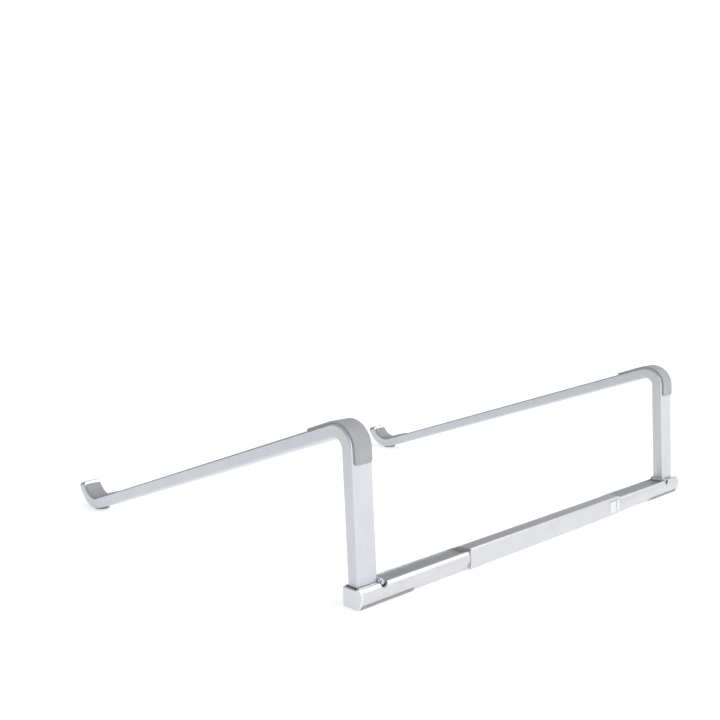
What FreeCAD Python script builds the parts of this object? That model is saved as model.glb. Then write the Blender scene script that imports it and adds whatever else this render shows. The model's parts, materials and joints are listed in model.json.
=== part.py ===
import FreeCAD, Part
import math
import os

# Folding laptop stand: two bent aluminium arms hinged to a base bar that widens.
# Units are millimetres. X runs along the base bar, Y is depth with the user at -Y,
# Z is up from the table. Profiles are written as (y, z) with y = 0 on the rear face
# of an arm's leg at table height; BASE_Y moves them to the middle of the footprint.
# Every paired piece is built for the right-hand side and mirrored for the left.

V = FreeCAD.Vector

# Arm
BASE_Y = 117.63             # rear face of the legs behind the middle of the footprint
ARM_OUTER_X = 128.3         # outer side face of each arm with the base pushed in
BAR_W, BAR_T = 11.0, 6.0    # section of the flat bar the arms are bent from
BAR_EDGE = 0.8              # rounding of the bar's long edges
LIP_CORNER = 2.4            # rounding of the two corners at the lip
LEG_LEAN = math.radians(1.7)
ARM_SLOPE = math.radians(17.75)
ARM_TOP_Z = 77.4            # sloping top face of the arm, carried back to y = 0
LEG_BOTTOM_Z = 7.4
BEND_R = 4.0                # inside radius of the upper bend
CURL_R = 12.0               # inside radius of the curl that stops the laptop

# Silicone and rubber
PAD_T, PAD_W = 1.0, 9.6
PAD_LOW_Z = 57.5            # lower end of the bend pad on the leg
PAD_ON_ARM = 30.0           # length of the bend pad along the arm
PAD_EDGE = 0.3
FOOT_T = 0.8                # rubber under the curl

# Hinge
PIN_X, PIN_Z, PIN_R = 116.5, 8.7, 0.9
PIN_HEAD_R, PIN_HEAD_L = 1.05, 1.2
BARREL_R = 1.4
EAR_R = 1.45
EAR_REAR = (0.0, 0.8)
EAR_FRONT = (-6.45, -5.85)
YOKE_OUT_X, YOKE_TOP_Z = 126.0, 3.2
LAND_X, LAND_Y, LAND_TOP_Z = (118.2, 128.6), (0.12, 1.25), 8.9
YOKE_SCREWS_X, YOKE_SCREW_Y, YOKE_SCREW_R = (121.0, 124.6), -2.8, 0.8
HEAD_OVER_SHANK = 0.8       # radius of a screw head above that of its shank
BLOCK_Y0, BLOCK_Y1 = -5.5, -0.4
BLOCK_Z0, BLOCK_Z1 = 3.25, 7.15
HEEL_R = 3.8                # rounded outer corner that clears the end cap as the arm folds
BLOCK_SCREW_X, BLOCK_SCREW_Y, BLOCK_SCREW_R = 123.4, -3.05, 1.2
RUN = 0.05                  # running clearance per side

# Rail
RAIL_IN_X, RAIL_OUT_X = 62.7, 128.8
RAIL_Z0, FLOOR_Z = 1.0, 2.0
CAP_T = 1.2
RAIL_FOOT_X = 98.5
NOTCH_R = 2.0               # round notch in the rear wall, over the head of the pin
SLIDE_IN_X, SLIDE_OUT_X = 6.0, 108.0
SLIDE_Y0, SLIDE_Y1 = -6.2, 0.9
SLIDE_Z0, SLIDE_Z1 = FLOOR_Z + RUN, 4.25
SLOT_Y0, SLOT_Y1 = -4.1, -1.1
SLOT_IN_X, SLOT_OUT_X = 11.9, 59.0
COVER_OUT_X, COVER_TOP_Z, COVER_T = 114.5, 8.2, 1.2
COVER_Y0, COVER_Y1 = -6.45, 1.1
SLIDE_SCREWS_X, SLIDE_SCREW_Y, SLIDE_SCREW_R = (72.0, 92.0), -2.6, 1.0

# Sleeve and lock
SLEEVE_HALF = 62.6
GUIDE_IN_X = 45.0
STOP_PIN_X, STOP_PIN_Y, STOP_PIN_R = 38.0, -2.6, 1.0
LOCK_X, LOCK_W = -57.45, 8.8
LOCK_Z0, LOCK_Z1 = 2.75, 8.95
BUTTON_Y, RIB_Y = 3.5, 4.4    # face of the button, and the crest of its two ribs
WIDE_RIB_W, NARROW_RIB_W = 4.8, 2.4
RIB_ROUND = 0.8
SPRING_T = 0.3

# Directions in the (y, z) plane
LEG_UP = (-math.sin(LEG_LEAN), math.cos(LEG_LEAN))
LEG_FRONT = (-math.cos(LEG_LEAN), -math.sin(LEG_LEAN))
ARM_FWD = (-math.cos(ARM_SLOPE), -math.sin(ARM_SLOPE))
ARM_UP = (-math.sin(ARM_SLOPE), math.cos(ARM_SLOPE))


# ---- geometry helpers --------------------------------------------------------------------

def go(p, direction, distance):
    return (p[0] + direction[0] * distance, p[1] + direction[1] * distance)


def meet(p, d, q, e):
    """Crossing of the line p + t*d with the line q + s*e."""
    t = ((q[0] - p[0]) * e[1] - (q[1] - p[1]) * e[0]) / (d[0] * e[1] - d[1] * e[0])
    return go(p, d, t)


def unit(a, b):
    length = math.hypot(b[0] - a[0], b[1] - a[1])
    return ((b[0] - a[0]) / length, (b[1] - a[1]) / length)


def rounded(before, corner, after, radius):
    """Tangent start, then (middle, end), of a rounding at a corner."""
    a, b = unit(corner, before), unit(corner, after)
    half = math.acos(a[0] * b[0] + a[1] * b[1]) / 2
    bisector = unit((0, 0), (a[0] + b[0], a[1] + b[1]))
    reach = radius / math.tan(half)
    middle = go(corner, bisector, radius / math.sin(half) - radius)
    return go(corner, a, reach), (middle, go(corner, b, reach))


def prism(x0, x1, start, *steps):
    """Closed (y, z) outline pushed along X. A step is a point, or (via, end) for an arc."""
    edges, p = [], start
    for step in steps + (start,):
        if isinstance(step[0], tuple):
            via, end = step
            edges.append(Part.Arc(V(x0, *p), V(x0, *via), V(x0, *end)).toShape())
        else:
            end = step
            edges.append(Part.LineSegment(V(x0, *p), V(x0, *end)).toShape())
        p = end
    return Part.Face(Part.Wire(edges)).extrude(V(x1 - x0, 0, 0))


def box(x0, x1, y0, y1, z0, z1):
    return Part.makeBox(x1 - x0, y1 - y0, z1 - z0, V(x0, y0, z0))


def rod_y(x, z, radius, y0, y1):
    return Part.makeCylinder(radius, y1 - y0, V(x, y0, z), V(0, 1, 0))


def rod_z(x, y, radius, z0, z1):
    return Part.makeCylinder(radius, z1 - z0, V(x, y, z0), V(0, 0, 1))


def cone_z(x, y, r0, r1, z0, z1):
    return Part.makeCone(r0, r1, z1 - z0, V(x, y, z0), V(0, 0, 1))


def soften(shape, radius, keep):
    """Round every edge for which keep(middle of the edge, edge) holds."""
    return shape.makeFillet(radius, [e for e in shape.Edges if keep(e.CenterOfMass, e)])


def on_sides(x0, x1):
    """Keep test for the edges that lie in the planes x = x0 and x = x1."""
    return lambda c, e: min(abs(c.x - x0), abs(c.x - x1)) < 1e-4


def countersunk(x, y, z0, length, shank, depth=HEAD_OVER_SHANK):
    """Flat-head screw driven upwards from z0, with a small hexagon socket."""
    head = shank + depth
    screw = cone_z(x, y, head, shank, z0, z0 + depth)
    screw = screw.fuse(rod_z(x, y, shank, z0 + depth, z0 + length))
    corners = [V(x + 0.5 * head * math.cos(math.radians(a)),
                 y + 0.5 * head * math.sin(math.radians(a)), z0) for a in range(0, 361, 60)]
    socket = Part.Face(Part.makePolygon(corners)).extrude(V(0, 0, 0.6 * depth))
    return screw.cut(socket).removeSplitter()


def screw_hole(x, y, z0, shank, head):
    """Countersunk hole for a screw driven upwards from z0."""
    return cone_z(x, y, head, shank, z0, z0 + head - shank).fuse(rod_z(x, y, shank, z0 - 1, z0 + 5))


# ---- arm: leg, bend, sloping arm and curl ------------------------------------------------

ARM_INNER_X = ARM_OUTER_X - BAR_W
PAD_X0 = ARM_OUTER_X - (BAR_W + PAD_W) / 2
CURL_OUT_R = CURL_R + BAR_T
CURL_Z = FOOT_T + CURL_OUT_R
CURL_Y = (CURL_Z - ARM_TOP_Z - CURL_R / math.cos(ARM_SLOPE)) / math.tan(ARM_SLOPE)


def curl(radius, turn):
    """Point on the curl, turn 0 where it leaves the straight arm and 90 at the lip."""
    s, c = math.sin(math.radians(turn)), math.cos(math.radians(turn))
    return go((CURL_Y, CURL_Z), (ARM_FWD[0] * s - ARM_UP[0] * c, ARM_FWD[1] * s - ARM_UP[1] * c), radius)


def bend(offset, leg_z):
    """Leg end, start and arc of the bend, and its square corner, offset from the outer face."""
    leg = go((0.0, 0.0), LEG_FRONT, -offset)
    corner = meet(leg, LEG_UP, go((0.0, ARM_TOP_Z), ARM_UP, offset), ARM_FWD)
    foot = meet(leg, LEG_UP, (0.0, leg_z), LEG_FRONT)
    start, arc = rounded(foot, corner, go(corner, ARM_FWD, 50.0), BEND_R + BAR_T + offset)
    return foot, start, arc, corner


def arm():
    """One piece of flat bar bent twice, cut away at its foot for the hinge."""
    foot, start, arc, _ = bend(0.0, LEG_BOTTOM_Z)
    inner_foot, inner_start, inner_arc, _ = bend(-BAR_T, LEG_BOTTOM_Z)
    bar = prism(ARM_INNER_X, ARM_OUTER_X, foot, start, arc, curl(CURL_R, 0),
                (curl(CURL_R, 45), curl(CURL_R, 90)), curl(CURL_OUT_R, 90),
                (curl(CURL_OUT_R, 45), curl(CURL_OUT_R, 0)), inner_arc[1],
                (inner_arc[0], inner_start), inner_foot)
    lip = curl(CURL_R + BAR_T / 2, 90)
    bar = soften(bar, LIP_CORNER, lambda c, e: math.hypot(c.y - lip[0], c.z - lip[1]) < 0.01
                 and e.Length < BAR_T + 0.1)
    bar = soften(bar, BAR_EDGE, lambda c, e: on_sides(ARM_INNER_X, ARM_OUTER_X)(c, e)
                 and e.Length > BAR_T + 0.1)
    front = -7.5
    relief = rod_y(PIN_X, PIN_Z, EAR_R + 0.2, front, BLOCK_Y0 + RUN)
    relief = relief.fuse(box(PIN_X, PIN_X + EAR_R + 0.2, front, BLOCK_Y0 + RUN, 5, PIN_Z))
    relief = relief.fuse(rod_y(PIN_X, PIN_Z, BARREL_R + 0.1, front, 1.0))
    tapped = rod_z(BLOCK_SCREW_X, BLOCK_SCREW_Y, 1.25, LEG_BOTTOM_Z - 1.0, LEG_BOTTOM_Z + 9.0)
    return bar.cut(relief).cut(tapped)


def bend_pad():
    """Silicone strip over the outside of the bend, where the back of the laptop rests."""
    foot, start, arc, corner = bend(PAD_T, PAD_LOW_Z)
    inner_foot, inner_start, inner_arc, _ = bend(0.0, PAD_LOW_Z)
    end = go(corner, ARM_FWD, PAD_ON_ARM)
    pad = prism(PAD_X0, PAD_X0 + PAD_W, foot, start, arc, end, go(end, ARM_UP, -PAD_T),
                inner_arc[1], (inner_arc[0], inner_start), inner_foot)
    return soften(pad, PAD_EDGE, on_sides(PAD_X0, PAD_X0 + PAD_W))


def hook_pad():
    """Silicone strip lining the curl, where the front edge of the laptop rests."""
    inner = CURL_R - PAD_T
    pad = prism(PAD_X0, PAD_X0 + PAD_W, go(curl(CURL_R, 0), ARM_FWD, -12.0), curl(CURL_R, 0),
                (curl(CURL_R, 40), curl(CURL_R, 80)), curl(inner, 80),
                (curl(inner, 40), curl(inner, 0)), go(curl(inner, 0), ARM_FWD, -12.0))
    return soften(pad, PAD_EDGE, on_sides(PAD_X0, PAD_X0 + PAD_W))


def tip_foot():
    """Rubber dot glued under the lowest part of the curl."""
    x = ARM_OUTER_X - BAR_W / 2
    dot = rod_z(x, CURL_Y, 4.2, 0, FOOT_T + 0.9)
    dot = dot.cut(Part.makeCylinder(CURL_OUT_R, 30, V(x - 15, CURL_Y, CURL_Z), V(1, 0, 0)))
    return soften(dot, 0.25, lambda c, e: abs(c.z) < 1e-4 and e.Length > 5)


# ---- hinge -------------------------------------------------------------------------------

def hinge_block():
    """Steel heel under the leg with the hinge barrel at its inner side."""
    heel = box(ARM_INNER_X, ARM_OUTER_X, BLOCK_Y0, BLOCK_Y1, BLOCK_Z0, BLOCK_Z1)
    heel = soften(heel, HEEL_R, lambda c, e: abs(c.x - ARM_OUTER_X) + abs(c.z - BLOCK_Z0) < 1e-4)
    web_z0, joined_x = BLOCK_Z0 + 1.6, ARM_INNER_X - 0.1
    block = heel.fuse(box(joined_x - 0.1, ARM_INNER_X + 1, BLOCK_Y0, BLOCK_Y1, web_z0, BLOCK_Z1))
    block = block.fuse(box(PIN_X - BARREL_R, joined_x, BLOCK_Y0, BLOCK_Y1, web_z0, PIN_Z))
    block = block.fuse(rod_y(PIN_X, PIN_Z, BARREL_R, BLOCK_Y0, BLOCK_Y1))
    block = block.cut(rod_y(PIN_X, PIN_Z, PIN_R + RUN, -7, 1))
    hole = screw_hole(BLOCK_SCREW_X, BLOCK_SCREW_Y, BLOCK_Z0, BLOCK_SCREW_R + 0.1, 2.3)
    return block.cut(hole).removeSplitter()


def block_screw():
    """Screw from the heel up into the end of the leg."""
    return countersunk(BLOCK_SCREW_X, BLOCK_SCREW_Y, BLOCK_Z0 + 0.1, 11.0, BLOCK_SCREW_R)


def yoke():
    """Steel bracket in the rail: base plate, two ears that carry the pin, land behind the leg."""
    body = box(PIN_X - 3.9, YOKE_OUT_X, EAR_FRONT[0], EAR_REAR[1], FLOOR_Z, YOKE_TOP_Z)
    for y0, y1 in (EAR_FRONT, EAR_REAR):
        body = body.fuse(box(PIN_X - EAR_R, PIN_X + EAR_R, y0, y1, FLOOR_Z, PIN_Z))
        body = body.fuse(rod_y(PIN_X, PIN_Z, EAR_R, y0, y1))
    body = body.fuse(box(*LAND_X, *LAND_Y, YOKE_TOP_Z, LAND_TOP_Z))
    body = body.cut(rod_y(PIN_X, PIN_Z, PIN_R, -7, 2))
    for x in YOKE_SCREWS_X:
        body = body.cut(rod_z(x, YOKE_SCREW_Y, YOKE_SCREW_R, 0, 5))
    return body.removeSplitter()


def yoke_screws():
    return Part.makeCompound([countersunk(x, YOKE_SCREW_Y, RAIL_Z0, 2.1, YOKE_SCREW_R)
                              for x in YOKE_SCREWS_X])


def hinge_pin():
    """Headed pin riveted through both ears; its head shows in the notch of the rail."""
    end = EAR_REAR[1] + PIN_HEAD_L
    head = rod_y(PIN_X, PIN_Z, PIN_HEAD_R, EAR_REAR[1], end)
    head = soften(head, 0.4, lambda c, e: abs(c.y - end) < 1e-4)
    return rod_y(PIN_X, PIN_Z, PIN_R, EAR_FRONT[0], EAR_REAR[1]).fuse(head).removeSplitter()


def hinge_washers():
    """Two friction washers, one each side of the barrel."""
    rings = []
    for y0, y1 in ((EAR_FRONT[1], BLOCK_Y0), (BLOCK_Y1, EAR_REAR[0])):
        ring = rod_y(PIN_X, PIN_Z, BARREL_R - 0.1, y0 + 0.02, y1 - 0.02)
        rings.append(ring.cut(rod_y(PIN_X, PIN_Z, PIN_R + RUN, y0, y1)))
    return Part.makeCompound(rings)


# ---- rails -------------------------------------------------------------------------------

def rail_outline(x0, x1):
    """Outside of the rail section: straight front, belly at the rear."""
    return prism(x0, x1, (-7.0, RAIL_Z0), (-7.4, RAIL_Z0 + 0.4), (-7.4, 8.35), (-7.2, 8.55),
                 (1.5, 9.05), ((1.98, 9.0), (2.35, 8.72)), ((3.2, 6.2), (2.75, 3.4)), (1.9, RAIL_Z0))


def rail_channel(x0, x1):
    """Inside of the rail section, open at the top."""
    return prism(x0, x1, (-6.5, FLOOR_Z), (-6.5, 12.0), (1.35, 12.0), (1.35, 8.6),
                 ((2.1, 6.2), (1.75, 3.4)), (1.2, FLOOR_Z))


def rail():
    """Extruded channel that carries one arm; notched for the pin head."""
    body = rail_outline(RAIL_IN_X, RAIL_OUT_X).cut(rail_channel(RAIL_IN_X - 1, RAIL_OUT_X + 1))
    body = body.cut(rod_y(PIN_X, PIN_Z + 0.2, NOTCH_R, 0.9, 5.0))
    body = body.cut(prism(RAIL_FOOT_X - 0.1, RAIL_OUT_X + 1, (0.35, 0.5), (0.35, 1.45),
                          (1.6, 2.1), (3.2, 2.1), (3.2, 0.5)))
    for xs, y, shank in ((YOKE_SCREWS_X, YOKE_SCREW_Y, YOKE_SCREW_R),
                         (SLIDE_SCREWS_X, SLIDE_SCREW_Y, SLIDE_SCREW_R)):
        for x in xs:
            body = body.cut(screw_hole(x, y, RAIL_Z0, shank + 0.02, shank + HEAD_OVER_SHANK + 0.02))
    return body.removeSplitter()


def end_cap():
    """Plate closing the outer end of the rail, with a tongue glued to the floor."""
    x0, x1 = RAIL_OUT_X, RAIL_OUT_X + CAP_T
    plate = prism(x0, x1, (-7.0, 0.35), (-7.4, 0.75), (-7.4, 8.1), (-7.2, 8.3), (0.2, 8.3),
                  (0.9, 9.0), (1.5, 9.05), ((1.98, 9.0), (2.35, 8.72)),
                  ((3.2, 6.2), (2.75, 3.4)), (2.05, 1.4), (1.2, 0.35))
    plate = soften(plate, 0.3, lambda c, e: abs(c.x - x1) < 1e-4 and c.y < 0.9)
    return plate.fuse(box(x0 - 2.5, x0, -6.4, 1.1, FLOOR_Z + 0.02, 3.1)).removeSplitter()


def rail_foot():
    """Rubber strip under the rail with a lip turned up at the rear."""
    return prism(RAIL_FOOT_X, RAIL_OUT_X, (-6.4, 0.2), (-6.2, 0.0), (0.7, 0.0), (1.6, 0.5), (2.2, 1.2),
                 (2.45, 2.05), (1.65, 2.05), (0.4, 1.42), (0.4, RAIL_Z0), (-6.4, RAIL_Z0))


def slide_bar():
    """Flat bar screwed to the rail floor that runs in the sleeve, slotted for its stop."""
    bar = box(SLIDE_IN_X, SLIDE_OUT_X, SLIDE_Y0, SLIDE_Y1, SLIDE_Z0, SLIDE_Z1)
    bar = soften(bar, 0.5, lambda c, e: abs(e.Length - (SLIDE_Z1 - SLIDE_Z0)) < 1e-4)
    bar = bar.cut(box(SLOT_IN_X, SLOT_OUT_X, SLOT_Y0, SLOT_Y1, 1, 6))
    for x in SLIDE_SCREWS_X:
        bar = bar.cut(rod_z(x, SLIDE_SCREW_Y, SLIDE_SCREW_R, 1, 6))
    return bar


def channel_cover():
    """Strip that closes the top of the rail over the slide bar, short of the hinge."""
    low, top, under = SLIDE_Z1 + RUN, COVER_TOP_Z, COVER_TOP_Z - COVER_T
    front, rear = COVER_Y0 + COVER_T, COVER_Y1 - COVER_T
    return prism(RAIL_IN_X, COVER_OUT_X, (COVER_Y0, low), (COVER_Y0, top - 0.2), (COVER_Y0 + 0.2, top),
                 (COVER_Y1 - 0.2, top), (COVER_Y1, top - 0.2), (COVER_Y1, low), (rear, low),
                 (rear, under), (front, under), (front, low))


def slide_screws():
    return Part.makeCompound([countersunk(x, SLIDE_SCREW_Y, RAIL_Z0, 3.1, SLIDE_SCREW_R)
                              for x in SLIDE_SCREWS_X])


# ---- sleeve and lock ---------------------------------------------------------------------

def sleeve_outline(x0, x1):
    return prism(x0, x1, (-8.0, RAIL_Z0), (-8.4, RAIL_Z0 + 0.4), (-8.4, 7.1),
                 ((-5.2, 9.35), (-1.2, 10.35)), (2.9, 10.35), (3.4, 9.85), (3.4, RAIL_Z0 + 0.3),
                 (3.1, RAIL_Z0))


def sleeve_cavity(x0, x1):
    return prism(x0, x1, (-7.3, FLOOR_Z), (-7.3, 6.6), ((-4.7, 8.5), (-1.0, 9.35)), (2.3, 9.35),
                 (2.3, FLOOR_Z))


def sleeve():
    """Middle of the base: a closed extrusion both slide bars run in."""
    body = sleeve_outline(-SLEEVE_HALF, SLEEVE_HALF)
    body = body.cut(sleeve_cavity(-SLEEVE_HALF - 1, SLEEVE_HALF + 1))
    body = body.cut(box(LOCK_X - LOCK_W / 2 - RUN, LOCK_X + LOCK_W / 2 + RUN, 2.0, 5.0,
                        LOCK_Z0 - RUN, LOCK_Z1 + RUN))
    for x in (-STOP_PIN_X, STOP_PIN_X):
        body = body.cut(rod_z(x, STOP_PIN_Y, STOP_PIN_R, 0, 3))
    return body.removeSplitter()


def guide():
    """Plastic plug in the sleeve mouth with a slot for the slide bar."""
    plug = sleeve_cavity(GUIDE_IN_X, SLEEVE_HALF - RUN)
    return plug.cut(box(GUIDE_IN_X - 1, SLEEVE_HALF + 1, SLIDE_Y0 - RUN, SLIDE_Y1 + RUN,
                        FLOOR_Z - 1, SLIDE_Z1 + RUN)).removeSplitter()


def guide_lock_side():
    """The other plug, pocketed for the lock button and its spring."""
    plug = guide().mirror(V(0, 0, 0), V(1, 0, 0))
    flange = box(LOCK_X - LOCK_W / 2 - 0.5, LOCK_X + LOCK_W / 2 + 0.6, 0.95, 3, FLOOR_Z - 0.1, 9.4)
    stem = box(LOCK_X - 2.6, LOCK_X + 2.6, -4.0, 3, FLOOR_Z - 0.1, 8.0)
    return plug.cut(flange).cut(stem).removeSplitter()


def stop_pins():
    """Pins that end the outward travel of the slide bars."""
    return Part.makeCompound([rod_z(x, STOP_PIN_Y, STOP_PIN_R, RAIL_Z0 + 0.1, 5.0)
                              for x in (-STOP_PIN_X, STOP_PIN_X)])


def lock_button():
    """Ribbed button; its shoe grips the slide bar until the button is pressed."""
    x0, x1 = LOCK_X - LOCK_W / 2, LOCK_X + LOCK_W / 2
    body = soften(box(x0, x1, 2.2, BUTTON_Y, LOCK_Z0, LOCK_Z1), 0.2,
                  lambda c, e: abs(c.y - BUTTON_Y) < 1e-4)
    for x, width in ((x0 + 0.25, NARROW_RIB_W), (x1 - 0.25 - WIDE_RIB_W, WIDE_RIB_W)):
        rib = box(x, x + width, BUTTON_Y - 0.6, RIB_Y, LOCK_Z0 + 0.1, LOCK_Z1 - 0.1)
        rib = soften(rib, RIB_ROUND, lambda c, e: abs(c.y - RIB_Y) < 1e-4 and e.Length > LOCK_W / 2 + 1)
        body = body.fuse(soften(rib, 0.3, lambda c, e: c.y > BUTTON_Y + 0.1
                                and min(c.z - LOCK_Z0, LOCK_Z1 - c.z) < 0.2))
    flange = box(x0 - 0.35, x1 + 0.45, 1.65, 2.25, LOCK_Z0 - 0.5, LOCK_Z1 + 0.3)
    stem = box(LOCK_X - 1.4, LOCK_X + 1.4, -2.15, 1.7, 4.6, 5.5)
    shoe = box(LOCK_X - 1.4, LOCK_X + 1.4, -2.15, SLOT_Y1 - RUN, SLIDE_Z0 + 0.3, 5.5)
    return body.fuse(flange).fuse(stem).fuse(shoe).removeSplitter()


def lock_spring():
    """Folded leaf between the wall of the guide pocket and the back of the button."""
    zigzag = ((-1.2, -3.95), (1.0, -2.1), (-1.2, -0.25), (1.0, 1.6))
    folds = [V(LOCK_X + side, y, 5.8) for side, y in zigzag]
    shift = V(SPRING_T, 0, 0)
    outline = Part.makePolygon(folds + [p + shift for p in reversed(folds)] + folds[:1])
    return Part.Face(outline).extrude(V(0, 0, 2.0))


# ---- the parts ---------------------------------------------------------------------------

PAIRED = (arm, bend_pad, hook_pad, tip_foot, hinge_block, block_screw, yoke, yoke_screws, hinge_pin,
          hinge_washers, rail, end_cap, rail_foot, slide_bar, slide_screws, channel_cover)
SINGLE = {"sleeve": sleeve, "guide_right": guide, "guide_left": guide_lock_side,
          "stop_pins": stop_pins, "lock_button": lock_button, "lock_spring": lock_spring}


def save(name, shape):
    shape = shape.copy()
    shape.translate(V(0, BASE_Y, 0))
    shape.exportStep(os.path.join("parts", name + ".step"))


os.makedirs("parts", exist_ok=True)
for build in PAIRED:
    right = build()
    save(build.__name__ + "_right", right)
    save(build.__name__ + "_left", right.mirror(V(0, 0, 0), V(1, 0, 0)))
for name, build in SINGLE.items():
    save(name, build())
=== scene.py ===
import json
import math

import bmesh
import bpy
from mathutils import Matrix, Vector


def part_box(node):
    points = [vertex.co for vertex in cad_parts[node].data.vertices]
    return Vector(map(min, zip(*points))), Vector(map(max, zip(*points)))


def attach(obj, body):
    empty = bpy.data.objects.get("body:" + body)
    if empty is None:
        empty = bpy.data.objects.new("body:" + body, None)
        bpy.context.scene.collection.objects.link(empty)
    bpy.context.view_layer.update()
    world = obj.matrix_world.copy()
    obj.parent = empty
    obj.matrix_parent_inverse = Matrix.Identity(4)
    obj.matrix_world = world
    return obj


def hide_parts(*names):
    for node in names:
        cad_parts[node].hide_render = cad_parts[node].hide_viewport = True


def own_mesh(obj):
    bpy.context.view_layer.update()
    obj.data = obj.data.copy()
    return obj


# Folding laptop stand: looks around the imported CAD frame. The scene is in metres. Profiles and routes
# are worked out in millimetres and multiplied by MM when their mesh is made.
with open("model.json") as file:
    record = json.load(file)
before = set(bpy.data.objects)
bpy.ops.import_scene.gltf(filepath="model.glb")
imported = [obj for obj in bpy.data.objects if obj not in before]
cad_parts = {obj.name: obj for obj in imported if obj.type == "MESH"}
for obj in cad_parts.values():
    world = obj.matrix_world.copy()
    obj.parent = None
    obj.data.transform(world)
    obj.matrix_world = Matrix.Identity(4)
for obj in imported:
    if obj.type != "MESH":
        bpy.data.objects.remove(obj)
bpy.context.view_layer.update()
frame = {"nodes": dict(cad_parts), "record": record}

MM = 0.001
SIDES = ("right", "left")

# Driving dimensions as the CAD has them, in millimetres, in its (y, z) profiles
BASE_Y = 117.63
LEG_LEAN = math.radians(1.7)
ARM_SLOPE = math.radians(17.75)
ARM_OUTER_X, BAR_W = 128.3, 11.0
ARM_MIDDLE_X = ARM_OUTER_X - BAR_W / 2
ARM_TOP_Z = 77.4
BEND_R, CURL_INNER_R, CURL_OUTER_R = 10.0, 12.0, 18.0
CURL_Z = 18.8
PAD_T, PAD_W = 1.0, 9.6
PAD_LOW_Z, PAD_ON_ARM = 57.5, 30.0
PAD_CORNER_R, PAD_EDGE_R = 1.6, 0.32
HOOK_PAD_ON_ARM, HOOK_PAD_TURN = 12.0, math.radians(80)
RUBBER_X0, RUBBER_X1, RUBBER_END_R = 98.5, 128.8, 0.3
DOT_R, DOT_TOP, DOT_GAP = 4.2, 1.3, 0.005
LOCK_X, LOCK_TRAVEL = -57.45, 0.6
LEAF_FOLDS = ((-1.2, -3.95), (1.0, -2.1), (-1.2, -0.25), (1.0, 1.6))
LEAF_T, LEAF_Z = 0.3, (5.8, 7.8)

# Spacing of the stations along a profile's straight runs and bends
STRAIGHT_STEP, ARC_STEP = 0.5, 0.35


# ---- shader helpers ----------------------------------------------------------------------

def add(tree, kind, inputs=None, **settings):
    """New node with its settings, and its unlinked inputs, filled in."""
    made = tree.nodes.new(kind)
    for key, value in settings.items():
        setattr(made, key, value)
    for key, value in (inputs or {}).items():
        if isinstance(value, bpy.types.NodeSocket):
            tree.links.new(value, made.inputs[key])
        else:
            made.inputs[key].default_value = value
    return made


def new_material(name, **principled):
    """Material with a Principled shader and its constants, and the object's own coordinates."""
    made = bpy.data.materials.new(name)
    made.use_nodes = True
    tree = made.node_tree
    shader = tree.nodes["Principled BSDF"]
    for key, value in principled.items():
        shader.inputs[key.capitalize()].default_value = value
    place = tree.nodes.new("ShaderNodeTexCoord").outputs["Object"]
    return made, tree, shader, place


def noise(tree, place, grain, detail=2.0, stretch=None):
    """Noise whose grains are about that long in metres, drawn out along an axis if stretched."""
    if stretch:
        place = add(tree, "ShaderNodeMapping", {"Vector": place, "Scale": stretch}).outputs["Vector"]
    made = add(tree, "ShaderNodeTexNoise", {"Vector": place, "Scale": 1.0 / grain, "Detail": detail})
    return made.outputs["Fac"]


def ramp(tree, value, low, high, start=0.0, end=1.0):
    """Value carried from start..end to low..high."""
    made = add(tree, "ShaderNodeMapRange", {"Value": value, "From Min": start, "From Max": end,
                                            "To Min": low, "To Max": high})
    return made.outputs["Result"]


def blend_colour(tree, amount, first, second):
    """Mix of two colours. A colour Mix node has them on its sockets 6 and 7, and its result on 2."""
    made = add(tree, "ShaderNodeMix", {"Factor": amount}, data_type="RGBA")
    for socket, colour in ((made.inputs[6], first), (made.inputs[7], second)):
        if isinstance(colour, bpy.types.NodeSocket):
            tree.links.new(colour, socket)
        else:
            socket.default_value = (*colour, 1.0)
    return made.outputs[2]


def bumps(tree, shader, layers, radius=None):
    """Stacks bump layers of (height, depth in metres), over edges softened by radius."""
    normal = None
    if radius:
        normal = add(tree, "ShaderNodeBevel", {"Radius": radius}, samples=4).outputs["Normal"]
    for height, depth in layers:
        inputs = {"Height": height, "Distance": depth, "Strength": 1.0}
        if normal:
            inputs["Normal"] = normal
        normal = add(tree, "ShaderNodeBump", inputs).outputs["Normal"]
    tree.links.new(normal, shader.inputs["Normal"])


def edge_wear_and_highlight(tree, radius):
    """1 on edges, 0 on faces: where the softened normal turns away. It marks rubbed wear on plated steel
    and a painted edge highlight on the aluminium.
    """
    soft = add(tree, "ShaderNodeBevel", {"Radius": radius}, samples=6).outputs["Normal"]
    flat = add(tree, "ShaderNodeNewGeometry").outputs["Normal"]
    dot = add(tree, "ShaderNodeVectorMath", {0: soft, 1: flat}, operation="DOT_PRODUCT").outputs["Value"]
    return ramp(tree, dot, 0.0, 1.0, 0.995, 0.90)


# ---- materials ---------------------------------------------------------------------------

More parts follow.
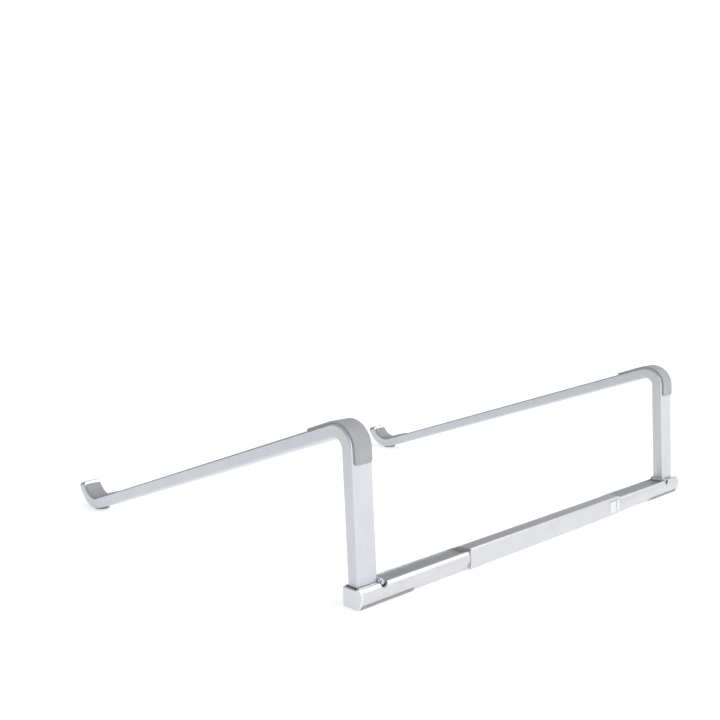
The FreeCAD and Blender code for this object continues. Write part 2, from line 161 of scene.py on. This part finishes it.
def blasted_aluminium(name, colour, highlight_colour, rough=0.42, drawn=None, grain=0.22 * MM,
                      highlight_width=0.35 * MM):
    """Bead-blasted and anodised: cloudy tone, painted sparkle specks, and a painted highlight on the
    edges, which are also less rough.
    """
    made, tree, shader, place = new_material(name, metallic=1.0)
    fine = noise(tree, place, grain, 3.0)
    cloud = noise(tree, place, 9 * MM, 3.0)
    speck = noise(tree, place, 0.45 * MM, 2.0)
    dark = tuple(0.975 * c for c in colour)
    light = tuple(min(1.0, 1.02 * c) for c in colour)
    base = blend_colour(tree, ramp(tree, cloud, 0.0, 1.0, 0.3, 0.7), dark, light)
    # Painted glints: random specks blended towards the highlight colour stand in for the sparkle of the
    # blasted surface.
    base = blend_colour(tree, ramp(tree, speck, 0.0, 0.19, 0.42, 0.72), base, highlight_colour)
    # Painted highlight: edges are blended towards the highlight colour, standing in for light caught by
    # the rounded edges.
    edge = edge_wear_and_highlight(tree, highlight_width)
    base = blend_colour(tree, ramp(tree, edge, 0.0, 0.5), base, highlight_colour)
    tree.links.new(base, shader.inputs["Base Color"])
    tone = ramp(tree, fine, rough - 0.07, rough + 0.07, 0.3, 0.7)
    polished = add(tree, "ShaderNodeMix", {"Factor": edge, 2: tone, 3: rough - 0.17}, data_type="FLOAT")
    tree.links.new(polished.outputs[0], shader.inputs["Roughness"])
    layers = [(fine, 0.012 * MM), (speck, 0.006 * MM)]
    if drawn:
        layers.append((noise(tree, place, 0.35 * MM, 2.0, drawn), 0.006 * MM))
    bumps(tree, shader, layers, 0.12 * MM)
    return made


def moulded_rubber(name, colour, grain, depth, rough, dust):
    """Matt silicone or rubber: leathery grain, uneven tone, a little dust in the grain."""
    made, tree, shader, place = new_material(name, metallic=0.0)
    shader.inputs["Sheen Weight"].default_value = 0.12
    shader.inputs["Sheen Roughness"].default_value = 0.5
    shader.inputs["Specular IOR Level"].default_value = 0.35
    cells = add(tree, "ShaderNodeTexVoronoi", {"Vector": place, "Scale": 1.0 / grain},
                feature="DISTANCE_TO_EDGE").outputs["Distance"]
    fine = noise(tree, place, 0.4 * grain, 3.0)
    cloud = noise(tree, place, 6 * MM, 4.0)
    base = blend_colour(tree, ramp(tree, cloud, 0.0, 1.0, 0.3, 0.7),
                        tuple(0.93 * c for c in colour), tuple(1.06 * c for c in colour))
    specks = ramp(tree, noise(tree, place, 0.5 * MM, 4.0), 0.0, 0.30, 0.62, 0.78)
    base = blend_colour(tree, specks, base, dust)
    tree.links.new(base, shader.inputs["Base Color"])
    tree.links.new(ramp(tree, fine, rough - 0.08, rough + 0.08, 0.3, 0.7), shader.inputs["Roughness"])
    bumps(tree, shader, [(ramp(tree, cells, 0.0, 1.0, 0.0, 0.35), depth), (fine, 0.5 * depth)], 0.15 * MM)
    return made


def plated_steel(name, colour, rough, drawn):
    """Plated steel with fine marks drawn along one direction and rubbed edges."""
    made, tree, shader, place = new_material(name, metallic=1.0)
    lines = noise(tree, place, 0.16 * MM, 3.0, drawn)
    cloud = noise(tree, place, 3 * MM, 3.0)
    base = blend_colour(tree, ramp(tree, cloud, 0.0, 1.0, 0.3, 0.7),
                        tuple(0.82 * c for c in colour), tuple(1.12 * c for c in colour))
    edge = edge_wear_and_highlight(tree, 0.2 * MM)
    base = blend_colour(tree, ramp(tree, edge, 0.0, 0.6), base, (0.78, 0.78, 0.80))
    tree.links.new(base, shader.inputs["Base Color"])
    tree.links.new(ramp(tree, lines, rough - 0.08, rough + 0.10, 0.3, 0.7), shader.inputs["Roughness"])
    bumps(tree, shader, [(lines, 0.010 * MM)], 0.10 * MM)
    return made


def turned_steel(name, colour, centre):
    """Turned steel with fine rings about an axis along Y, which read as lines far from centre."""
    made, tree, shader, place = new_material(name, metallic=1.0)
    from_centre = add(tree, "ShaderNodeVectorMath", {0: place, 1: centre}, operation="SUBTRACT")
    radial = add(tree, "ShaderNodeVectorMath", {0: from_centre.outputs["Vector"], 1: (1, 0, 1)},
                 operation="MULTIPLY")
    rings = add(tree, "ShaderNodeTexWave", {"Vector": radial.outputs["Vector"], "Scale": 1800.0,
                                            "Distortion": 0.6, "Detail": 2.0, "Detail Scale": 2.0},
                wave_type="RINGS", rings_direction="SPHERICAL").outputs["Fac"]
    cloud = noise(tree, place, 0.8 * MM, 3.0)
    base = blend_colour(tree, ramp(tree, cloud, 0.0, 1.0, 0.3, 0.7),
                        tuple(0.86 * c for c in colour), tuple(min(1.0, 1.08 * c) for c in colour))
    tree.links.new(base, shader.inputs["Base Color"])
    tree.links.new(ramp(tree, rings, 0.16, 0.34), shader.inputs["Roughness"])
    bumps(tree, shader, [(rings, 0.004 * MM), (cloud, 0.006 * MM)], 0.10 * MM)
    return made


def moulded_plastic(name, colour):
    """Spark-eroded mould texture on dark plastic."""
    made, tree, shader, place = new_material(name, metallic=0.0)
    shader.inputs["Specular IOR Level"].default_value = 0.45
    fine = noise(tree, place, 0.18 * MM, 3.0)
    cloud = noise(tree, place, 4 * MM, 3.0)
    base = blend_colour(tree, ramp(tree, cloud, 0.0, 1.0, 0.3, 0.7),
                        tuple(0.8 * c for c in colour), tuple(1.25 * c for c in colour))
    tree.links.new(base, shader.inputs["Base Color"])
    tree.links.new(ramp(tree, fine, 0.42, 0.62, 0.3, 0.7), shader.inputs["Roughness"])
    bumps(tree, shader, [(fine, 0.02 * MM)], 0.12 * MM)
    return made


PAINTED_HIGHLIGHT = (0.93, 0.94, 0.96)
ALONG_X = (0.02, 1.0, 1.0)
pin_centre = sum(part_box("hinge_pin_right"), Vector()) / 2

FINISHES = {
    # The arm's painted edge highlight is drawn wider than on the other aluminium.
    "arm_aluminium": blasted_aluminium("arm_aluminium", (0.565, 0.585, 0.61), PAINTED_HIGHLIGHT, 0.40,
                                       highlight_width=1.1 * MM),
    "rail_aluminium": blasted_aluminium("rail_aluminium", (0.585, 0.588, 0.595), PAINTED_HIGHLIGHT, 0.38,
                                        ALONG_X, 0.16 * MM),
    "sleeve_aluminium": blasted_aluminium("sleeve_aluminium", (0.585, 0.588, 0.597), PAINTED_HIGHLIGHT, 0.36,
                                          ALONG_X, 0.16 * MM),
    "cap_aluminium": blasted_aluminium("cap_aluminium", (0.67, 0.69, 0.71), PAINTED_HIGHLIGHT, 0.42),
    "cover_aluminium": blasted_aluminium("cover_aluminium", (0.47, 0.485, 0.49), (0.70, 0.70, 0.72), 0.50,
                                         ALONG_X, 0.16 * MM),
    "button_metal": blasted_aluminium("button_metal", (0.70, 0.705, 0.715), PAINTED_HIGHLIGHT, 0.30,
                                      None, 0.14 * MM),
    "silicone_pad": moulded_rubber("silicone_pad", (0.33, 0.332, 0.343), 0.28 * MM, 0.035 * MM, 0.66,
                                   (0.58, 0.58, 0.59)),
    "foot_rubber": moulded_rubber("foot_rubber", (0.27, 0.275, 0.28), 0.35 * MM, 0.05 * MM, 0.72,
                                  (0.50, 0.50, 0.50)),
    "hinge_steel": plated_steel("hinge_steel", (0.60, 0.61, 0.63), 0.42, (1.0, 1.0, 0.05)),
    "screw_steel": plated_steel("screw_steel", (0.26, 0.27, 0.29), 0.36, (1.0, 1.0, 1.0)),
    "slide_steel": plated_steel("slide_steel", (0.50, 0.51, 0.53), 0.34, ALONG_X),
    "spring_steel": plated_steel("spring_steel", (0.56, 0.57, 0.60), 0.30, (1.0, 0.05, 1.0)),
    "pin_steel": turned_steel("pin_steel", (0.50, 0.51, 0.53), pin_centre),
    "washer_plastic": moulded_plastic("washer_plastic", (0.06, 0.06, 0.065)),
    "guide_plastic": moulded_plastic("guide_plastic", (0.40, 0.405, 0.41)),
}


def dress_cad_nodes():
    """Gives every CAD node the finish that the record names for it."""
    for part in frame["record"]["subparts"]:
        cad_node = frame["nodes"][part["node"]]
        cad_node.data.materials.clear()
        cad_node.data.materials.append(FINISHES[part["material_slot"]])


# ---- silicone and rubber pieces ----------------------------------------------------------

LEG_UP = Vector((-math.sin(LEG_LEAN), math.cos(LEG_LEAN)))
LEG_BACK = Vector((math.cos(LEG_LEAN), math.sin(LEG_LEAN)))
ARM_FORWARD = Vector((-math.cos(ARM_SLOPE), -math.sin(ARM_SLOPE)))
ARM_UP = Vector((-math.sin(ARM_SLOPE), math.cos(ARM_SLOPE)))


def meet(p, d, q, e):
    """Crossing of the line p + t*d with the line q + s*e."""
    return p + d * ((q - p).cross(e) / d.cross(e))


def straight(start, end, normal):
    """Stations (point, outward normal) along a straight run of a profile."""
    count = max(2, round((end - start).length / STRAIGHT_STEP))
    return [(start.lerp(end, i / count), normal) for i in range(count + 1)]


def arc(centre, radius, first, last, side=1):
    """Stations round a bend, between two directions from its centre; side -1 is its inside."""
    turn = first.angle_signed(last)
    count = max(2, round(radius * abs(turn) / ARC_STEP))
    spokes = [Matrix.Rotation(-turn * i / count, 2) @ first for i in range(count + 1)]
    return [(centre + radius * spoke, side * spoke) for spoke in spokes]


def bend_stations():
    """Outer face of the leg, the bend and the arm, as far as the pad covers it."""
    leg, arm = Vector((0.0, 0.0)), Vector((0.0, ARM_TOP_Z))
    centre = meet(leg - BEND_R * LEG_BACK, LEG_UP, arm - BEND_R * ARM_UP, ARM_FORWARD)
    foot = meet(leg, LEG_UP, Vector((0.0, PAD_LOW_Z)), LEG_BACK)
    corner = meet(leg + PAD_T * LEG_BACK, LEG_UP, arm + PAD_T * ARM_UP, ARM_FORWARD)
    end = corner + PAD_ON_ARM * ARM_FORWARD - PAD_T * ARM_UP
    return (straight(foot, centre + BEND_R * LEG_BACK, LEG_BACK)
            + arc(centre, BEND_R, LEG_BACK, ARM_UP)[1:-1]
            + straight(centre + BEND_R * ARM_UP, end, ARM_UP))


CURL_CENTRE = Vector(((CURL_Z - ARM_TOP_Z - CURL_INNER_R / math.cos(ARM_SLOPE))
                      / math.tan(ARM_SLOPE), CURL_Z))


def hook_stations():
    """Inner face of the curl, from a little way up the arm to short of the lip."""
    last = Matrix.Rotation(HOOK_PAD_TURN, 2).inverted() @ -ARM_UP
    start = CURL_CENTRE - CURL_INNER_R * ARM_UP
    return (straight(start - HOOK_PAD_ON_ARM * ARM_FORWARD, start, ARM_UP)
            + arc(CURL_CENTRE, CURL_INNER_R, -ARM_UP, last, -1)[1:])


def rounding(distance, radius):
    """How far a corner of that radius stands back, at a distance from its end."""
    if distance >= radius:
        return 0.0
    return radius - math.sqrt(radius ** 2 - (radius - distance) ** 2)


def pad_section(half, height, edge, steps=6):
    """(across, up) points of a pad's section: flat top, rounded upper edges, eased lower ones."""
    edge = min(edge, 0.6 * height)
    side = []
    for i in range(steps + 1):
        a = math.radians(90 * i / steps)
        side.append((half - edge + edge * math.cos(a), height - edge + edge * math.sin(a)))
    crown = [(u * (half - edge), height) for u in (0.8, 0.6, 0.4, 0.2, 0.0)]
    right = [(half - 0.05, 0.0), (half, 0.06)] + side + crown
    return right + [(-u, v) for u, v in reversed(right[:-1])]


def loft(name, rings, material, body, node):
    """Closed skin over rings of points in millimetres, standing for a CAD node."""
    form = bmesh.new()
    loops = [[form.verts.new(MM * point) for point in ring] for ring in rings]
    for lower, upper in zip(loops, loops[1:]):
        for i in range(len(lower)):
            j = (i + 1) % len(lower)
            form.faces.new((lower[i], lower[j], upper[j], upper[i]))
    form.faces.new(reversed(loops[0]))
    form.faces.new(loops[-1])
    bmesh.ops.recalc_face_normals(form, faces=form.faces)
    for face in form.faces:
        face.smooth = len(face.verts) == 4
    mesh = bpy.data.meshes.new(name)
    form.to_mesh(mesh)
    form.free()
    mesh.materials.append(material)
    piece = bpy.data.objects.new(name, mesh)
    bpy.context.scene.collection.objects.link(piece)
    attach(piece, body)
    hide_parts(node)
    return piece


def mirror_of(side):
    """1 on the right side, -1 on the left."""
    return 1 if side == "right" else -1


def pad_rings(side, stations):
    """Sections along a route, drawn in at both ends so that the pad's corners are rounded."""
    mirror = mirror_of(side)
    lengths = [0.0]
    for (p, _), (q, _) in zip(stations, stations[1:]):
        lengths.append(lengths[-1] + (q - p).length)
    rings = []
    for (point, normal), s in zip(stations, lengths):
        to_end = min(s, lengths[-1] - s)
        half = PAD_W / 2 - rounding(to_end, PAD_CORNER_R)
        height = PAD_T - rounding(to_end, PAD_EDGE_R)
        ring = []
        for across, up in pad_section(half, height, PAD_EDGE_R):
            spot = point + up * normal
            ring.append(Vector((mirror * (ARM_MIDDLE_X + across), spot.x + BASE_Y, spot.y)))
        rings.append(ring)
    return rings


def refined(stations, length=1.8, parts=8):
    """Adds stations near both ends, where a pad's corners turn."""
    def split(a, b):
        return [(a[0].lerp(b[0], i / parts), a[1]) for i in range(parts)]

    out = []
    total = sum((b[0] - a[0]).length for a, b in zip(stations, stations[1:]))
    s = 0.0
    for a, b in zip(stations, stations[1:]):
        near_end = s < length or total - s < length + STRAIGHT_STEP
        out += split(a, b) if near_end else [a]
        s += (b[0] - a[0]).length
    return out + [stations[-1]]


RUBBER_SECTION = ((-6.4, 0.2), (-6.35, 0.07), (-6.2, 0.0), (-5.6, 0.0), (-5.4, 0.22), (-4.9, 0.22),
                  (-4.7, 0.0), (-3.4, 0.0), (-3.2, 0.22), (-2.7, 0.22), (-2.5, 0.0), (-1.2, 0.0),
                  (-1.0, 0.22), (-0.5, 0.22), (-0.3, 0.0), (0.7, 0.0), (1.05, 0.12), (1.35, 0.30),
                  (1.6, 0.50), (1.84, 0.74), (2.04, 1.0), (2.2, 1.28), (2.3, 1.52), (2.34, 1.68),
                  (2.3, 1.8), (2.18, 1.86), (1.72, 1.86), (1.6, 1.82), (0.46, 1.42), (0.4, 1.36),
                  (0.4, 1.0), (-6.38, 1.0), (-6.4, 0.98))


def rubber_foot(side):
    """Extruded strip with grip grooves under it, its inner end rounded off."""
    mirror = mirror_of(side)
    middle_y, middle_z = -2.0, 0.9
    end_steps, long_steps = 6, 40
    length = RUBBER_X1 - RUBBER_X0 - RUBBER_END_R
    stops = [RUBBER_X0 + RUBBER_END_R * i / end_steps for i in range(end_steps)]
    stops += [RUBBER_X0 + RUBBER_END_R + length * i / long_steps for i in range(long_steps + 1)]
    rings = []
    for x in stops:
        shrink = 0.5 * rounding(x - RUBBER_X0, RUBBER_END_R)
        ring = []
        for y, z in RUBBER_SECTION:
            ring.append(Vector((mirror * x, y - math.copysign(shrink, y - middle_y) + BASE_Y,
                                z - math.copysign(0.5 * shrink, z - middle_z))))
        rings.append(ring)
    node = "rail_foot_" + side
    loft("rubber_strip_" + side, rings, FINISHES["foot_rubber"], "rail_" + side, node)


def rubber_dot(side):
    """Round foot under the curl, with a ring groove, its top hollowed to the curl."""
    mirror = mirror_of(side)
    profile = ((0.02, 0.14), (1.2, 0.14), (1.5, 0.02), (2.5, 0.0), (2.7, 0.16), (3.0, 0.16),
               (3.2, 0.0), (3.9, 0.0), (4.08, 0.06), (4.17, 0.16), (DOT_R, 0.28))

    def under_curl(y):
        return min(DOT_TOP, CURL_Z - math.sqrt(CURL_OUTER_R ** 2 - y ** 2)) - DOT_GAP

    count = 64
    spokes = [math.radians(360 * i / count) for i in range(count)]

    def ring(radius, height):
        points = []
        for a in spokes:
            y = radius * math.sin(a)
            z = under_curl(y) if height is None else height
            points.append(Vector((mirror * ARM_MIDDLE_X + radius * math.cos(a),
                                  CURL_CENTRE.x + y + BASE_Y, z)))
        return points

    rings = [ring(r, z) for r, z in profile]
    rings += [ring(r, None) for r in (DOT_R, 4.0, 3.0, 2.0, 1.0, 0.02)]
    node = "tip_foot_" + side
    loft("rubber_dot_" + side, rings, FINISHES["foot_rubber"], "arm_" + side, node)


def silicone(side):
    """Both pads of one arm."""
    for name, node, stations in (("bend_strip_", "bend_pad_", bend_stations()),
                                 ("hook_strip_", "hook_pad_", hook_stations())):
        loft(name + side, pad_rings(side, refined(stations)), FINISHES["silicone_pad"],
             "arm_" + side, node + side)


def lock_leaf():
    """Folded leaf behind the lock button."""
    steps = 6
    path = []
    for (x0, y0), (x1, y1) in zip(LEAF_FOLDS, LEAF_FOLDS[1:]):
        path += [(x0 + (x1 - x0) * i / steps, y0 + (y1 - y0) * i / steps) for i in range(steps)]
    path.append(LEAF_FOLDS[-1])
    low, high = LEAF_Z
    rings = []
    for x, y in path:
        left, right, depth = LOCK_X + x, LOCK_X + x + LEAF_T, BASE_Y + y
        rings.append([Vector((left, depth, low)), Vector((right, depth, low)),
                      Vector((right, depth, high)), Vector((left, depth, high))])
    leaf = loft("lock_leaf", rings, FINISHES["spring_steel"], "base", "lock_spring")
    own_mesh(leaf)


dress_cad_nodes()
lock_leaf()
for one_side in SIDES:
    silicone(one_side)
    rubber_foot(one_side)
    rubber_dot(one_side)


# ---- stage -------------------------------------------------------------------------------

FLOOR_R, FLOOR_GLOW = 30.0, 0.45
BRIGHT_SIDE = (-0.707, 0.707, 0.0)
WORLD_STEPS = ((0.0, 0.34), (0.50, 0.42), (0.85, 0.88))
OVERHEAD_FROM, OVERHEAD_TO, OVERHEAD_STRENGTH = 0.35, 0.9, 0.72
STAND_CENTRE = (0.0, 0.05, 0.03)
KEY = {"at": (-0.9, 1.5, 1.1), "width": 1.4, "height": 1.0, "watts": 18.0, "colour": (1.0, 0.995, 0.99)}
FRONT = {"at": (1.1, 1.2, 0.5), "width": 0.9, "height": 0.7, "watts": 5.0, "colour": (0.97, 0.985, 1.0)}
CAMERA_AT = (0.35421, 0.35256, 0.12893)
CAMERA_AZIMUTH, CAMERA_ELEVATION = math.radians(40.81), math.radians(6.89)
CAMERA_ROLL = math.radians(-1.81)
CAMERA_LENS, CAMERA_SHIFT = 43.02, (0.0727, 0.0356)


def material_of_stage():
    """White paper that glows a little, so that it runs into the background with hardly a horizon."""
    made, tree, shader, place = new_material("floor_paper", metallic=0.0, roughness=0.9)
    shader.inputs["Specular IOR Level"].default_value = 0.1
    shader.inputs["Emission Color"].default_value = (1.0, 1.0, 1.0, 1.0)
    shader.inputs["Emission Strength"].default_value = FLOOR_GLOW
    cloud = noise(tree, place, 0.4, 2.0)
    tree.links.new(blend_colour(tree, cloud, (0.84, 0.84, 0.84), (0.86, 0.86, 0.86)),
                   shader.inputs["Base Color"])
    return made


def floor():
    mesh = bpy.data.meshes.new("floor")
    form = bmesh.new()
    bmesh.ops.create_circle(form, cap_ends=True, segments=96, radius=FLOOR_R)
    form.to_mesh(mesh)
    form.free()
    made = bpy.data.objects.new("floor", mesh)
    mesh.materials.append(material_of_stage())
    bpy.context.scene.collection.objects.link(made)


def softbox(name, at, width, height, watts, colour):
    """Rectangular light turned towards the stand."""
    light = bpy.data.lights.new(name, "AREA")
    light.shape = "RECTANGLE"
    light.size, light.size_y = width, height
    light.energy = watts
    light.color = colour
    made = bpy.data.objects.new(name, light)
    made.location = at
    made.rotation_mode = "QUATERNION"
    made.rotation_quaternion = (Vector(STAND_CENTRE) - made.location).to_track_quat("-Z", "Y")
    bpy.context.scene.collection.objects.link(made)


def studio_light():
    """Pale surroundings, brightest behind the stand on its left and dimmest before it on its right.

    The camera sees them as plain white.
    """
    world = bpy.data.worlds.new("studio")
    bpy.context.scene.world = world
    world.use_nodes = True
    tree = world.node_tree
    direction = tree.nodes.new("ShaderNodeTexCoord").outputs["Generated"]
    toward = add(tree, "ShaderNodeVectorMath", {0: direction, 1: BRIGHT_SIDE},
                 operation="DOT_PRODUCT").outputs["Value"]
    sides = add(tree, "ShaderNodeValToRGB", {"Fac": ramp(tree, toward, 0.0, 1.0, -1.0, 1.0)})
    steps = sides.color_ramp
    steps.interpolation = "EASE"
    ready = len(steps.elements)
    for index, (position, level) in enumerate(WORLD_STEPS):
        step = steps.elements[index] if index < ready else steps.elements.new(position)
        step.position = position
        step.color = (level, level, level, 1.0)
    height = add(tree, "ShaderNodeSeparateXYZ", {"Vector": direction}).outputs["Z"]
    overhead = ramp(tree, height, 0.0, 1.0, OVERHEAD_FROM, OVERHEAD_TO)
    strength = add(tree, "ShaderNodeMix", {"Factor": overhead, 2: sides.outputs["Color"],
                                           3: OVERHEAD_STRENGTH}, data_type="FLOAT")
    lit = tree.nodes["Background"]
    lit.inputs["Color"].default_value = (0.975, 0.985, 1.0, 1.0)
    tree.links.new(strength.outputs[0], lit.inputs["Strength"])
    seen = add(tree, "ShaderNodeBackground", {"Color": (1.0, 1.0, 1.0, 1.0), "Strength": 1.0})
    looked_at = tree.nodes.new("ShaderNodeLightPath").outputs["Is Camera Ray"]
    choice = add(tree, "ShaderNodeMixShader", {0: looked_at, 1: lit.outputs["Background"],
                                               2: seen.outputs["Background"]})
    tree.links.new(choice.outputs["Shader"], tree.nodes["World Output"].inputs["Surface"])
    softbox("key", **KEY)
    softbox("front", **FRONT)


def camera():
    """Low view from behind the stand's right, rolled a little."""
    level = math.cos(CAMERA_ELEVATION)
    forward = Vector((-math.sin(CAMERA_AZIMUTH) * level, -math.cos(CAMERA_AZIMUTH) * level,
                      -math.sin(CAMERA_ELEVATION)))
    right = forward.cross(Vector((0, 0, 1))).normalized()
    up = right.cross(forward)
    across = math.cos(CAMERA_ROLL) * right + math.sin(CAMERA_ROLL) * up
    upward = math.cos(CAMERA_ROLL) * up - math.sin(CAMERA_ROLL) * right
    data = bpy.data.cameras.new("camera")
    data.sensor_width, data.lens = 36.0, CAMERA_LENS
    data.shift_x, data.shift_y = CAMERA_SHIFT
    data.clip_start, data.clip_end = 0.01, 200.0
    made = bpy.data.objects.new("camera", data)
    turn = Matrix((across, upward, -forward)).transposed().to_4x4()
    made.matrix_world = Matrix.Translation(CAMERA_AT) @ turn
    bpy.context.scene.collection.objects.link(made)
    bpy.context.scene.camera = made


floor()
studio_light()
camera()
bpy.context.scene.view_settings.view_transform = "Standard"
